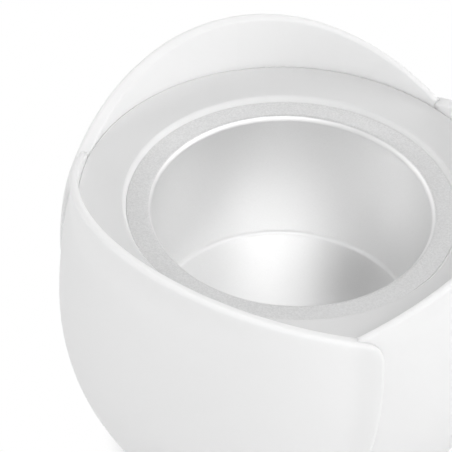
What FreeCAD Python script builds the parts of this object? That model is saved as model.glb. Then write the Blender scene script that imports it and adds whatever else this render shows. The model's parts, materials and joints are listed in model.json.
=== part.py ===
import FreeCAD, Part
import math
import os

from FreeCAD import Vector

# Wax warmer: a lift-out pot in a heated well, inside a casing of three lapped petals.
# Millimetres and degrees. +Z is up and the origin lies under the middle of the feet.
# Angles run anticlockwise from +X, seen from above.

# Where the petals, the controls and the power inlet face
petal_count = 3
front_angle = 210.0
right_angle = front_angle + 360 / petal_count
back_angle = right_angle + 360 / petal_count

# Lift-out pot
mouth_radius = 50.0
pot_depth = 55.2
pot_wall = 1.2
pot_taper = 0.5
pot_floor_rounding = 1.5
cut_edge_width = 1.0
cut_edge_height = 1.6
flange_width = 7.7
flange_rise = 0.2
flange_rounding = 0.4
flange_clearance = 0.3

# Heated well, its band heater and its insulation, from the inside out
can_clearance = 0.7
can_wall = 1.5
can_rounding = 3.0
can_flange_width = 4.1
stud_radius = 2.0
stud_length = 11.0
band_clearance = 0.1
band_wall = 1.6
band_height = 34.0
band_lift = 8.0
band_gap = 6.0
ear_reach = 6.0
ear_height = 12.0
tab_width = 6.3
tab_wall = 0.8
tab_reach = 7.0
tab_spacing = 18.0
tab_lift = 5.0
sleeve_clearance = 0.5
sleeve_wall = 6.4
sleeve_height = 42.0
sleeve_lift = 4.0
tab_slot_angle = 50.0
ear_slot_angle = 30.0
seal_height = 1.5

# What the well stands on
feet_height = 2.5
foot_radius = 6.0
foot_sunk = 1.0
foot_count = 4
foot_edge = 12.0
tray_floor = 2.5
tray_wall = 2.6
tray_inset = 1.2
under_space = 37.1
post_radius = 4.5
post_count = 3
plate_wall = 1.5
plate_margin = 5.4
plate_screw_edge = 12.0
spacer_height = 6.5
spacer_radius = 5.0
spacer_bore = 2.2
spacer_circle = 20.0
nut_height = 3.2
nut_flat_radius = 3.5
vent_count = 12
vent_inner = 16.0
vent_length = 12.0
vent_width = 2.4

# Casing
control_space = 18.2
petal_wall = 3.8
base_radius = 50.0
belly_drop = 38.0
neck_draw = 3.23
throat_height = 12.0
split_height = 24.0
front_rise = 26.2
front_tilt = 24.1
front_turn = 0.9
right_rise = 27.4
right_tilt = 26.3
right_turn = -2.0
back_rise = 26.6
back_tilt = 28.4
back_turn = -4.2
rim_outer_rounding = 1.4
rim_inner_rounding = 0.8
lap_shift = 1.3
lap_gap = 0.3
lap_width = 8.8
lap_angle = 20.0
seam_reach = 9.2
seam_drop = 8.0
seam_bend = 165.0
seam_corner = 9.5
shelf_width = 10.0
shelf_wall = 3.0
shelf_angle = 100.0
boss_radius = 4.0
boss_height = 14.0
boss_margin = 3.7
boss_angle = 33.0
rib_wall = 2.5
weld = 1.0

# Bezel ring
bezel_wall = 2.0
bezel_gap = 0.6
bezel_lean = 1.35
bezel_step = 2.1
bezel_rise = 1.18
bezel_dish = 0.45
bezel_dish_rounding = 60.0
bezel_rounding = 0.6
bezel_pot_gap = 0.35
bezel_ledge = 1.4
bezel_boss_radius = 3.4
bezel_skirt = 5.9

# Screws
screw_radius = 1.5
screw_head_radius = 3.0
screw_head = 2.2
screw_grip = 12.0
small_screw_radius = 1.25
small_head_radius = 2.4
small_head = 1.8
small_grip = 5.0
screw_clearance = 0.1
counterbore_clearance = 0.5
counterbore_depth = 8.0

# Control pod on the right petal
fascia_width = 30.0
fascia_height = 52.0
fascia_recess = 2.0
fascia_clearance = 0.3
fascia_rounding = 0.6
pod_margin = 3.0
pod_lip = 0.4
pod_floor = 3.2
pod_side_ledge = 3.0
pod_end_ledge = 7.0
pod_hole_rounding = 3.0
fascia_screw_edge = 3.0
board_width = 38.0
board_height = 50.0
board_wall = 1.6
board_drop = 6.0
board_post_radius = 2.6
board_post_length = 6.4
board_post_spacing = 22.0
board_post_edge = 3.0

# Dial on its potentiometer
dial_margin = 2.0
dial_radius = 12.0
dial_height = 9.0
dial_taper = 1.4
dial_rounding = 1.2
dial_gap = 0.6
dial_bore_depth = 6.0
dial_off_angle = 135.0
flute_count = 24
flute_radius = 1.3
flute_depth = 0.45
cap_rim = 3.0
cap_wall = 1.0
cap_clearance = 0.1
pointer_width = 1.2
pointer_length = 5.0
spindle_radius = 3.0
spindle_clearance = 0.08
pot_body_width = 12.0
pot_body_height = 12.0
pot_body_gap = 0.4
pot_bush_wall = 1.0
pot_bush_clearance = 0.3
spindle_seat = 2.0

# Push button on its switch
button_margin = 5.0
button_radius = 4.5
button_proud = 2.6
button_travel = 1.5
button_clearance = 0.3
button_flange = 1.1
button_flange_wall = 0.9
button_front_wall = 0.9
button_seat_gap = 0.2
button_rounding = 0.8
stem_radius = 2.3
stem_length = 4.9
plunger_radius = 1.75
plunger_sunk = 0.8
switch_width = 12.0
switch_depth = 4.0

# Indicator lamp
lamp_wall = 1.75
led_radius = 1.5
led_length = 5.4
lens_radius = 1.8
lens_gap = 0.3
lens_clearance = 0.05
lens_proud = 0.5

# Other parts on the board
triac_width = 10.0
triac_height = 16.0
triac_wall = 4.5
triac_lift = 4.0
block_width = 18.0
block_height = 7.5
block_depth = 8.0
block_gap = 0.9

# Sensor and cut-out under the well
sensor_radius = 2.0
sensor_length = 12.0
sensor_edge = 25.4
sensor_side = -10.0
sensor_lead_radius = 0.6
sensor_lead_pitch = 2.0
cutout_radius = 2.0
cutout_length = 10.0
cutout_edge = 17.4
cutout_lead_radius = 0.6
cutout_lead_stub = 3.0
strap_wall = 0.8
strap_width = 5.0
strap_foot = 4.0
strap_clearance = 0.2

# Power inlet on the back petal
inlet_lift = 14.0
inlet_face_width = 27.0
inlet_face_height = 17.0
inlet_face_wall = 1.5
inlet_body_width = 24.0
inlet_body_height = 14.6
inlet_body_depth = 18.5
inlet_recess = 7.5
inlet_clearance = 0.3
inlet_rounding = 2.0
inlet_pod_margin = 2.5
inlet_pod_depth = 8.0
inlet_pod_lip = 0.5
socket_width = 16.0
socket_height = 9.0
socket_depth = 14.0
pin_radius = 1.2
pin_pitch = 8.6
pin_short = 3.5
pin_tail = 4.0

# Leads
lead_radius = 1.2
heater_lead_radius = 1.2
lead_ring_clearance = 5.5
lead_ring_lifts = (2.0, 6.5)
lead_step_angle = 20.0
lead_bend_share = 0.45
lead_drop = 9.0

# Cut tools run past the solids by this much, and points match within this much
overrun = 20.0
far = 300.0
match = 0.02

# Radii of the stack, from the pot to the casing
pot_outer = mouth_radius + pot_wall
flange_radius = mouth_radius + cut_edge_width + flange_width
can_inner = pot_outer + can_clearance
can_outer = can_inner + can_wall
can_flange_radius = can_outer + can_flange_width
band_inner = can_outer + band_clearance
band_outer = band_inner + band_wall
sleeve_inner = band_outer + sleeve_clearance
sleeve_outer = sleeve_inner + sleeve_wall
belly_radius = sleeve_outer + control_space + petal_wall
sensor_circle = can_outer - sensor_edge
cutout_circle = can_outer - cutout_edge

# Heights of the stack, from the feet to the petal tips
tray_bottom = feet_height
tray_inside = tray_bottom + tray_floor
plate_bottom = tray_inside + under_space
plate_top = plate_bottom + plate_wall
can_bottom = plate_top + spacer_height
pot_bottom = can_bottom + can_wall
pot_inside = pot_bottom + pot_wall
mouth_height = pot_inside + pot_depth
flange_top = mouth_height + cut_edge_height + flange_rise
flange_bottom = flange_top - pot_wall
ledge_top = flange_bottom - flange_clearance
ledge_bottom = ledge_top - bezel_ledge
can_flange_top = ledge_bottom - seal_height
belly_height = mouth_height - belly_drop
bezel_lip_top = flange_top + bezel_step
bezel_top = bezel_lip_top + bezel_rise
shelf_top = bezel_top - bezel_skirt
rim_peak = mouth_height + max(front_rise, right_rise, back_rise)

# Casing profile: a low arc, a high arc that draws in, and a throat arc that flares the petals out again
bowl_draw = belly_radius - base_radius
low_arc = (bowl_draw ** 2 + (belly_height - tray_bottom) ** 2) / (2 * bowl_draw)
high_arc = (neck_draw ** 2 + belly_drop ** 2) / (2 * neck_draw)
neck_lean = math.asin(belly_drop / high_arc)
throat_arc = throat_height / math.sin(neck_lean)
rim_radius = belly_radius - neck_draw - throat_arc * (1 - math.cos(neck_lean))
throat_top = mouth_height + throat_height

# Places along the outward axis of the control pod
fascia_wall = button_front_wall + button_clearance + button_flange_wall + button_travel + button_seat_gap
switch_well = plunger_sunk + button_travel + button_clearance
fascia_face = belly_radius - fascia_recess
fascia_back = fascia_face - fascia_wall
pod_back = fascia_back - pod_floor
board_front = pod_back - board_post_length
board_back = board_front - board_wall

# Places on the fascia and on the back petal
fascia_top = belly_height + fascia_height / 2
fascia_bottom = belly_height - fascia_height / 2
cap_radius = dial_radius - dial_taper - cap_rim
dial_height_up = fascia_top - dial_margin - dial_radius
button_space = button_radius + button_flange + button_clearance
button_height_up = fascia_bottom + button_margin + button_space
lamp_side = button_space + lamp_wall + lens_radius + lens_clearance
inlet_height = split_height + inlet_lift

UP = Vector(0, 0, 1)
OUT = Vector(1, 0, 0)
ACROSS = Vector(0, 1, 0)
ORIGIN = Vector(0, 0, 0)


def upright(point):
    """Put an outline point (radius, height) in the XZ plane."""
    return Vector(point.x, 0, point.y)


def facing(distance):
    """Put outline points (sideways, height) in the upright plane at this distance outward."""
    return lambda point: Vector(distance, point.x, point.y)


def rounded_face(corners, place):
    """A flat face through corners (a, b, rounding), with a tangent arc where the rounding isn't zero."""
    bends = []
    for i, (a, b, rounding) in enumerate(corners):
        here = Vector(a, b, 0)
        following = corners[(i + 1) % len(corners)]
        back = (Vector(corners[i - 1][0], corners[i - 1][1], 0) - here).normalize()
        ahead = (Vector(following[0], following[1], 0) - here).normalize()
        half = back.getAngle(ahead) / 2
        reach = rounding / math.tan(half)
        inward = rounding / math.sin(half) - rounding
        middle = here + (back + ahead).normalize() * inward if rounding else here
        bends.append((here + back * reach, middle, here + ahead * reach))
    edges = []
    for i, (first, middle, last) in enumerate(bends):
        if corners[i][2]:
            edges.append(Part.Arc(place(first), place(middle), place(last)).toShape())
        start = bends[(i + 1) % len(bends)][0]
        if last.distanceToPoint(start) > match:
            edges.append(Part.LineSegment(place(last), place(start)).toShape())
    return Part.Face(Part.Wire(edges))


def turned(corners):
    """A solid of revolution about the Z axis, from corners (radius, height, rounding)."""
    return rounded_face(corners, upright).revolve(ORIGIN, UP, 360)


def ring(inner, outer, bottom, top):
    """A plain ring."""
    return turned([(inner, bottom, 0), (outer, bottom, 0), (outer, top, 0), (inner, top, 0)])


def slab(width, height, rounding, back, front, level):
    """A rounded plate that faces outward, between two distances, centred at this height."""
    half_width = width / 2
    half_height = height / 2
    corners = [
        (-half_width, level - half_height, rounding),
        (half_width, level - half_height, rounding),
        (half_width, level + half_height, rounding),
        (-half_width, level + half_height, rounding),
    ]
    return rounded_face(corners, facing(back)).extrude(OUT * (front - back))


def stadium(width, height, back, front, level):
    """An upright plate with round ends, facing outward."""
    return slab(width, height, width / 2, back, front, level)


def block(back, front, left, right, bottom, top):
    """A box between two distances outward, two places across and two heights."""
    return Part.makeBox(front - back, right - left, top - bottom, Vector(back, left, bottom))


def rod(radius, back, front, across, level):
    """A round bar along the outward axis."""
    return Part.makeCylinder(radius, front - back, Vector(back, across, level), OUT)


def post(radius, bottom, top, circle, angle):
    """An upright round bar on a circle about the Z axis."""
    return Part.makeCylinder(radius, top - bottom, polar(circle, angle, bottom), UP)


def polar(radius, angle, height):
    """The point at this radius, angle and height."""
    turn = math.radians(angle)
    return Vector(radius * math.cos(turn), radius * math.sin(turn), height)


def aimed(shape, angle):
    """Turn a shape that was built facing +X to face this angle."""
    turned_shape = shape.copy()
    turned_shape.rotate(ORIGIN, UP, angle)
    return turned_shape


def outward(shape, distance, level):
    """Lay a shape built on the Z axis along the outward axis."""
    laid = shape.copy()
    laid.rotate(ORIGIN, ACROSS, 90)
    laid.translate(Vector(distance, 0, level))
    return laid


def wedge(first, last):
    """A tall pie slice about the Z axis, between two angles."""
    steps = math.ceil((last - first) / lead_step_angle)
    rim = [polar(far, first + (last - first) * i / steps, -overrun) for i in range(steps + 1)]
    start = Vector(0, 0, -overrun)
    return Part.Face(Part.makePolygon([start] + rim + [start])).extrude(UP * far)


def joined(shapes):
    """Fuse shapes into one solid."""
    return shapes[0].fuse(shapes[1:]).removeSplitter()


def bent_tube(points, radius):
    """A round lead along points, with a wide tangent arc at every corner."""
    edges = []
    start = points[0]
    for i in range(1, len(points) - 1):
        back = points[i - 1] - points[i]
        ahead = points[i + 1] - points[i]
        reach = lead_bend_share * min(back.Length, ahead.Length)
        half = back.getAngle(ahead) / 2
        bend = reach * math.tan(half)
        back.normalize()
        ahead.normalize()
        first = points[i] + back * reach
        last = points[i] + ahead * reach
        middle = points[i] + (back + ahead).normalize() * (bend / math.sin(half) - bend)
        edges.append(Part.LineSegment(start, first).toShape())
        edges.append(Part.Arc(first, middle, last).toShape())
        start = last
    edges.append(Part.LineSegment(start, points[-1]).toShape())
    section = Part.Wire(Part.makeCircle(radius, points[0], points[1] - points[0]))
    return Part.Wire(edges).makePipeShell([section], True, True)


def screw(radius, head_radius, head, grip):
    """A screw on the Z axis whose head's seat is at zero, pointing up."""
    cup = Part.makeCylinder(head_radius, head, UP * -head)
    shank = Part.makeCylinder(radius, grip)
    drive = Part.makeBox(radius / 2, head_radius, head / 2, Vector(-radius / 4, -head_radius / 2, -head))
    return joined([cup, shank]).cut(drive)


def low_radius_at(height, grow):
    """The casing's radius on its low arc, grown outward by this much."""
    return belly_radius - low_arc + math.sqrt((low_arc + grow) ** 2 - (belly_height - height) ** 2)


def casing_radius_at(height):
    """The casing's outer radius at any height."""
    if height > mouth_height:
        return rim_radius + throat_arc - math.sqrt(throat_arc ** 2 - (throat_top - height) ** 2)
    if height > belly_height:
        return belly_radius - high_arc + math.sqrt(high_arc ** 2 - (height - belly_height) ** 2)
    return low_radius_at(height, 0)


def low_arc_edge(grow, bottom, top):
    """The casing's low arc between two heights."""
    middle = (bottom + top) / 2
    points = [Vector(low_radius_at(h, grow), 0, h) for h in (bottom, middle, top)]
    return Part.Arc(*points).toShape()


def bowl(grow, bottom, top):
    """The solid inside the casing's low arc, between two heights."""
    first = Vector(low_radius_at(bottom, grow), 0, bottom)
    last = Vector(low_radius_at(top, grow), 0, top)
    floor = Vector(0, 0, bottom)
    roof = Vector(0, 0, top)
    edges = [
        Part.LineSegment(floor, first).toShape(),
        low_arc_edge(grow, bottom, top),
        Part.LineSegment(last, roof).toShape(),
        Part.LineSegment(roof, floor).toShape(),
    ]
    return Part.Face(Part.Wire(edges)).revolve(ORIGIN, UP, 360)


def casing(grow):
    """The solid inside the casing's whole profile, from the split up past the petal tips."""
    top = rim_peak + overrun
    belly = Vector(belly_radius + grow, 0, belly_height)

    def on_high(turn):
        reach = high_arc + grow
        radius = belly_radius - high_arc + reach * math.cos(turn)
        return Vector(radius, 0, belly_height + reach * math.sin(turn))

    def on_throat(turn):
        reach = throat_arc - grow
        radius = rim_radius + throat_arc - reach * math.cos(turn)
        return Vector(radius, 0, throat_top - reach * math.sin(turn))

    neck = on_high(neck_lean)
    tip = on_throat(-math.asin((top - throat_top) / (throat_arc - grow)))
    roof = Vector(0, 0, top)
    floor = Vector(0, 0, split_height)
    edges = [
        low_arc_edge(grow, split_height, belly_height),
        Part.Arc(belly, on_high(neck_lean / 2), neck).toShape(),
        Part.Arc(neck, on_throat(0), tip).toShape(),
        Part.LineSegment(tip, roof).toShape(),
        Part.LineSegment(roof, floor).toShape(),
        Part.LineSegment(floor, Vector(low_radius_at(split_height, grow), 0, split_height)).toShape(),
    ]
    return Part.Face(Part.Wire(edges)).revolve(ORIGIN, UP, 360)


def above_rim(point, rim):
    """How far a point lies above the slanting plane of a petal's top edge."""
    rise, tilt, turn = rim
    reach = point.dot(polar(1, turn, 0)) - rim_radius + petal_wall / 2
    return point.z - mouth_height - rise - math.tan(math.radians(tilt)) * reach


def edges_where(shape, test):
    """The edges whose ends and middle all pass a test."""
    found = []
    for edge in shape.Edges:
        middle = edge.valueAt((edge.FirstParameter + edge.LastParameter) / 2)
        points = [vertex.Point for vertex in edge.Vertexes] + [middle]
        if len(points) > 2 and all(test(point) for point in points):
            found.append(edge)
    return found


def on_outside(point):
    return abs(math.hypot(point.x, point.y - lap_shift) - casing_radius_at(point.z)) < match


def angle_of(point):
    return math.degrees(math.atan2(point.y, point.x))


def seam_side(shift):
    """All that lies before the curved seam at a petal's end, facing +X, with the seam moved on by this much."""
    seam_top = mouth_height - seam_drop
    edge = seam_reach + shift
    disc = Part.makeCylinder(seam_bend, far, Vector(0, edge - seam_bend, seam_top), OUT)
    straight = Part.makeBox(far, 2 * seam_bend, far, Vector(0, edge - 2 * seam_bend, seam_top))
    return disc.fuse(straight)


def petal_shell(rim):
    """One petal facing +X: a wall that thickens towards its end, lapped over the next petal."""
    rise, tilt, turn = rim
    half_sector = 180 / petal_count
    start_angle = -half_sector - lap_angle
    outside = casing(0)
    outside.translate(ACROSS * lap_shift)
    shell = outside.cut(casing(-petal_wall)).common(wedge(start_angle, half_sector + lap_angle))

    # The slanting cut of the top edge
    sky = Part.makeBox(2 * far, 2 * far, far, Vector(-far, -far, 0))
    sky.rotate(ORIGIN, ACROSS, -tilt)
    sky.translate(Vector(rim_radius - petal_wall / 2, 0, mouth_height + rise))
    shell = shell.cut(aimed(sky, turn))

    # The curved end that shows as a seam over the next petal, and the start that lies under the last one
    shell = shell.common(wedge(start_angle, 0).fuse(aimed(seam_side(0), half_sector)))
    shell = shell.cut(aimed(seam_side(-lap_width), -half_sector))

    # The rebate that makes room for the next petal's start
    beside = casing(lap_gap)
    beside.translate(polar(lap_shift, 90 + 2 * half_sector, 0))
    beside = beside.common(wedge(0, 2 * half_sector)).cut(aimed(seam_side(-lap_width - lap_gap), half_sector))
    shell = shell.cut(beside).Solids[0]

    def on_rim(point):
        return abs(above_rim(point, rim)) < match

    # Rounded corner, top edge and seam
    corner = max(edges_where(shell, on_rim), key=lambda e: angle_of(e.CenterOfMass) - e.Length)
    shell = shell.makeFillet(seam_corner, [corner]).Solids[0]

    def on_seam(point):
        return on_outside(point) and angle_of(point) > half_sector - lap_angle

    upper = edges_where(shell, lambda point: on_rim(point) and on_outside(point))
    ends = [e for e in edges_where(shell, on_seam) if e.BoundBox.ZLength > e.Length / 2]
    shell = shell.makeFillet(rim_outer_rounding, upper + ends).Solids[0]

    def on_inner_rim(point):
        inside = casing_radius_at(point.z) - petal_wall
        return on_rim(point) and abs(math.hypot(point.x, point.y) - inside) < rim_inner_rounding

    long_edges = [e for e in edges_where(shell, on_inner_rim) if e.Length > 2 * rim_inner_rounding]
    return shell.makeFillet(rim_inner_rounding, long_edges).Solids[0]


def shelf_radius():
    return casing_radius_at(shelf_top) - petal_wall


def boss_circle():
    return low_radius_at(split_height, -petal_wall) - boss_radius - boss_margin


def bezel_screw_circle():
    return shelf_radius() - shelf_width / 2 - weld


def petal_blank(rim):
    """A petal with the shelf that carries the bezel and the two bosses that hold it on the tray."""
    inside = casing(weld - petal_wall)
    shelf = ring(shelf_radius() - shelf_width, shelf_radius() + petal_wall, shelf_top - shelf_wall, shelf_top)
    pieces = [petal_shell(rim), shelf.common(wedge(-shelf_angle / 2, shelf_angle / 2)).common(inside)]
    boss_top = split_height + boss_height
    for angle in (-boss_angle, boss_angle):
        rib = block(boss_circle(), belly_radius, -rib_wall / 2, rib_wall / 2, split_height, boss_top)
        pieces.append(post(boss_radius, split_height, boss_top, boss_circle(), angle))
        pieces.append(aimed(rib, angle).common(inside))
    blank = joined(pieces)
    hole = screw_radius + screw_clearance
    for angle in (-boss_angle, boss_angle):
        blank = blank.cut(post(hole, split_height - overrun, boss_top - weld, boss_circle(), angle))
    return blank.cut(post(hole, shelf_top - overrun, shelf_top + overrun, bezel_screw_circle(), 0))


def control_petal(blank):
    """The right petal: its pod takes the fascia, and its posts carry the board."""
    pod_width = fascia_width + 2 * pod_margin
    pod_height = fascia_height + 2 * pod_margin
    pocket_width = fascia_width + 2 * fascia_clearance
    pocket_height = fascia_height + 2 * fascia_clearance
    hole_width = fascia_width - 2 * pod_side_ledge
    hole_height = fascia_height - 2 * pod_end_ledge
    pieces = [blank, stadium(pod_width, pod_height, pod_back, fascia_face + pod_lip, belly_height)]
    for across, level in board_post_places():
        pieces.append(rod(board_post_radius, board_front, fascia_back, across, level))
    cuts = [
        stadium(pocket_width, pocket_height, fascia_back, fascia_face + overrun, belly_height),
        slab(hole_width, hole_height, pod_hole_rounding, pod_back - overrun, fascia_face, belly_height),
        rod(lens_radius + lens_clearance, pod_back - weld, fascia_face, lamp_side, button_height_up),
    ]
    hole = small_screw_radius + screw_clearance
    sink = small_head_radius + counterbore_clearance
    for level in fascia_screw_levels():
        cuts.append(rod(hole, pod_back, fascia_face, 0, level))
        cuts.append(rod(sink, pod_back - overrun, fascia_screw_seat(), 0, level))
    for across, level in board_post_places():
        cuts.append(rod(hole, board_front - weld, board_front + small_grip, across, level))
    return joined(pieces).cut(cuts)


def inlet_petal(blank):
    """The back petal: its low pod takes the power inlet."""
    face = inlet_face()
    margin = 2 * inlet_pod_margin
    pod = slab(
        inlet_face_width + margin,
        inlet_face_height + margin,
        inlet_rounding + inlet_pod_margin,
        face - inlet_pod_depth,
        face + inlet_pod_lip,
        inlet_height,
    )
    gap = 2 * inlet_clearance
    pocket = slab(
        inlet_face_width + gap,
        inlet_face_height + gap,
        inlet_rounding + inlet_clearance,
        face - inlet_face_wall,
        face + overrun,
        inlet_height,
    )
    hole = slab(
        inlet_body_width + gap,
        inlet_body_height + gap,
        inlet_rounding + inlet_clearance,
        face - inlet_pod_depth - overrun,
        face,
        inlet_height,
    )
    return joined([blank, pod]).cut(pocket).cut(hole)


def inlet_face():
    return belly_radius - inlet_recess


def fascia_screw_levels():
    return (fascia_bottom + fascia_screw_edge, fascia_top - fascia_screw_edge)


def fascia_screw_seat():
    """The screw heads are sunk in the pod's floor."""
    return pod_back + small_head


def board_post_places():
    across = board_width / 2 - board_post_edge
    reach = board_post_spacing / 2
    return [(side * across, belly_height + end * reach) for side in (-1, 1) for end in (-1, 1)]


def wax_pot():
    """The pot: a thin drawn cup with a flat flange and a steep bright-cut mouth edge."""
    foot = mouth_radius - pot_taper
    cut_radius = mouth_radius + cut_edge_width
    return turned([
        (0, pot_inside, 0),
        (foot, pot_inside, pot_floor_rounding),
        (mouth_radius, mouth_height, 0),
        (cut_radius, flange_top - flange_rise, 0),
        (flange_radius, flange_top, flange_rounding),
        (flange_radius, flange_bottom, flange_rounding),
        (pot_outer, flange_bottom, 0),
        (foot + pot_wall, pot_bottom, pot_floor_rounding + pot_wall),
        (0, pot_bottom, 0),
    ])


def heater_can():
    """The heated well, with the stud that ties it to its plate."""
    flange_low = can_flange_top - can_wall
    cup = turned([
        (0, can_bottom, 0),
        (can_outer, can_bottom, can_rounding),
        (can_outer, flange_low, 0),
        (can_flange_radius, flange_low, 0),
        (can_flange_radius, can_flange_top, 0),
        (can_inner, can_flange_top, 0),
        (can_inner, pot_bottom, can_rounding - can_wall),
        (0, pot_bottom, 0),
    ])
    return joined([cup, Part.makeCylinder(stud_radius, stud_length, Vector(0, 0, can_bottom - stud_length))])


def can_seal():
    return ring(can_inner, can_flange_radius, can_flange_top, ledge_bottom)


def can_nut():
    """The hex nut on the well's stud, under the plate."""
    corner = nut_flat_radius / math.cos(math.radians(30))
    points = [polar(corner, 60 * i, plate_bottom - nut_height) for i in range(7)]
    bore = Part.makeCylinder(stud_radius + screw_clearance, far, Vector(0, 0, -overrun))
    return Part.Face(Part.makePolygon(points)).extrude(UP * nut_height).cut(bore)


def band_levels():
    bottom = can_bottom + band_lift
    return bottom, bottom + band_height


def ear_level():
    bottom, top = band_levels()
    return (bottom + top) / 2


def band_heater():
    """A split band round the well: two tabs face the board, and two ears close it at the other side."""
    bottom, top = band_levels()
    band = ring(band_inner, band_outer, bottom, top)
    band = band.cut(block(-far, 0, -band_gap / 2, band_gap / 2, bottom - overrun, top + overrun))
    pieces = [band]
    low = ear_level() - ear_height / 2
    for side in (-1, 1):
        edges = sorted((side * band_gap / 2, side * (band_gap / 2 + band_wall)))
        root = -band_inner - band_wall / 2
        pieces.append(block(-band_outer - ear_reach, root, *edges, low, low + ear_height))
    tab_low = bottom + tab_lift
    for side in (-1, 1):
        middle = side * tab_spacing / 2
        left = middle - tab_width / 2
        tab = block(0, band_outer + tab_reach, left, left + tab_width, tab_low, tab_low + tab_wall)
        pieces.append(tab.cut(Part.makeCylinder(band_inner, far, ORIGIN, UP)))
    band = joined(pieces)
    hole = screw_radius + screw_clearance
    return band.cut(Part.makeCylinder(hole, far, Vector(ear_middle(), -far / 2, ear_level()), ACROSS))


def ear_middle():
    return -band_outer - ear_reach / 2


def band_clamp_screw():
    """The screw across the band's ears."""
    seat = band_gap / 2 + band_wall
    bolt = screw(screw_radius, screw_head_radius, screw_head, 2 * seat + nut_height + weld)
    bolt.rotate(ORIGIN, OUT, -90)
    bolt.translate(Vector(ear_middle(), -seat, ear_level()))
    return bolt


def band_clamp_nut():
    """The square nut on the clamp screw."""
    seat = band_gap / 2 + band_wall
    half = screw_head_radius
    low = ear_level() - half
    nut = block(ear_middle() - half, ear_middle() + half, seat, seat + nut_height, low, low + 2 * half)
    start = Vector(ear_middle(), 0, ear_level())
    return nut.cut(Part.makeCylinder(screw_radius + screw_clearance, far, start, ACROSS))


def insulation_sleeve():
    """Two half sleeves of insulation, open where the tabs and the ears come out."""
    bottom = can_bottom + sleeve_lift
    sleeve = ring(sleeve_inner, sleeve_outer, bottom, bottom + sleeve_height)
    first = tab_slot_angle / 2
    last = 180 - ear_slot_angle / 2
    return Part.makeCompound([sleeve.common(wedge(first, last)), sleeve.common(wedge(-last, -first))])


def plate_radius():
    return can_outer - plate_margin


def plate_screw_circle():
    return plate_radius() - plate_screw_edge


def post_angles():
    """The posts stand under the laps between the petals."""
    return [front_angle + 180 / petal_count + i * 360 / post_count for i in range(post_count)]


def support_plate():
    """The steel plate that the well stands on."""
    plate = Part.makeCylinder(plate_radius(), plate_wall, Vector(0, 0, plate_bottom))
    holes = [Part.makeCylinder(stud_radius + screw_clearance, far, ORIGIN)]
    for angle in post_angles():
        holes.append(post(screw_radius + screw_clearance, 0, far, plate_screw_circle(), angle))
    return plate.cut(holes)


def plate_spacers():
    """Ceramic bushes that keep the hot well off the plate."""
    bushes = []
    for angle in post_angles():
        bush = post(spacer_radius, plate_top, can_bottom, spacer_circle, angle)
        bushes.append(bush.cut(post(spacer_bore, 0, far, spacer_circle, angle)))
    return Part.makeCompound(bushes)


def plate_screws():
    """Screws from the plate down into the tray's posts."""
    screws = []
    for angle in post_angles():
        bolt = screw(screw_radius, screw_head_radius, screw_head, screw_grip)
        bolt.rotate(ORIGIN, OUT, 180)
        bolt.translate(polar(plate_screw_circle(), angle, plate_top))
        screws.append(bolt)
    return Part.makeCompound(screws)


def base_screw_angles():
    middles = (front_angle, right_angle, back_angle)
    return [middle + side * boss_angle for middle in middles for side in (-1, 1)]


def foot_angles():
    return [(i + 1 / 2) * 360 / foot_count for i in range(foot_count)]


def counterbore_top():
    return split_height - counterbore_depth


def base_tray():
    """The bottom dish: posts for the plate, tubes for the petal screws, vents and seats for the feet."""
    outside = bowl(-tray_inset, tray_bottom, split_height)
    tray = outside.cut(bowl(-tray_inset - tray_wall, tray_inside, split_height + weld))
    pieces = [tray]
    tube_radius = boss_radius + screw_clearance
    for angle in base_screw_angles():
        pieces.append(post(tube_radius, tray_bottom, split_height, boss_circle(), angle).common(outside))
    for angle in post_angles():
        pieces.append(post(post_radius, tray_bottom, plate_bottom, plate_screw_circle(), angle))
    tray = joined(pieces)
    cuts = []
    hole = screw_radius + screw_clearance
    sink = screw_head_radius + counterbore_clearance
    for angle in base_screw_angles():
        cuts.append(post(hole, 0, split_height + weld, boss_circle(), angle))
        cuts.append(post(sink, 0, counterbore_top(), boss_circle(), angle))
    for angle in post_angles():
        cuts.append(post(hole, plate_top - screw_grip - weld, plate_top, plate_screw_circle(), angle))
    for angle in foot_angles():
        cuts.append(post(foot_radius, 0, tray_bottom + foot_sunk, base_radius - foot_edge, angle))
    half = vent_width / 2
    for i in range(vent_count):
        vent = block(vent_inner, vent_inner + vent_length, -half, half, 0, tray_inside + weld)
        cuts.append(aimed(vent, i * 360 / vent_count))
    return tray.cut(cuts)


def base_screws():
    """Screws from under the tray up into the petals' bosses."""
    screws = []
    for angle in base_screw_angles():
        bolt = screw(screw_radius, screw_head_radius, screw_head, counterbore_depth + screw_grip)
        bolt.translate(polar(boss_circle(), angle, counterbore_top()))
        screws.append(bolt)
    return Part.makeCompound(screws)


def rubber_feet():
    circle = base_radius - foot_edge
    top = tray_bottom + foot_sunk
    return Part.makeCompound([post(foot_radius, 0, top, circle, angle) for angle in foot_angles()])


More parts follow.
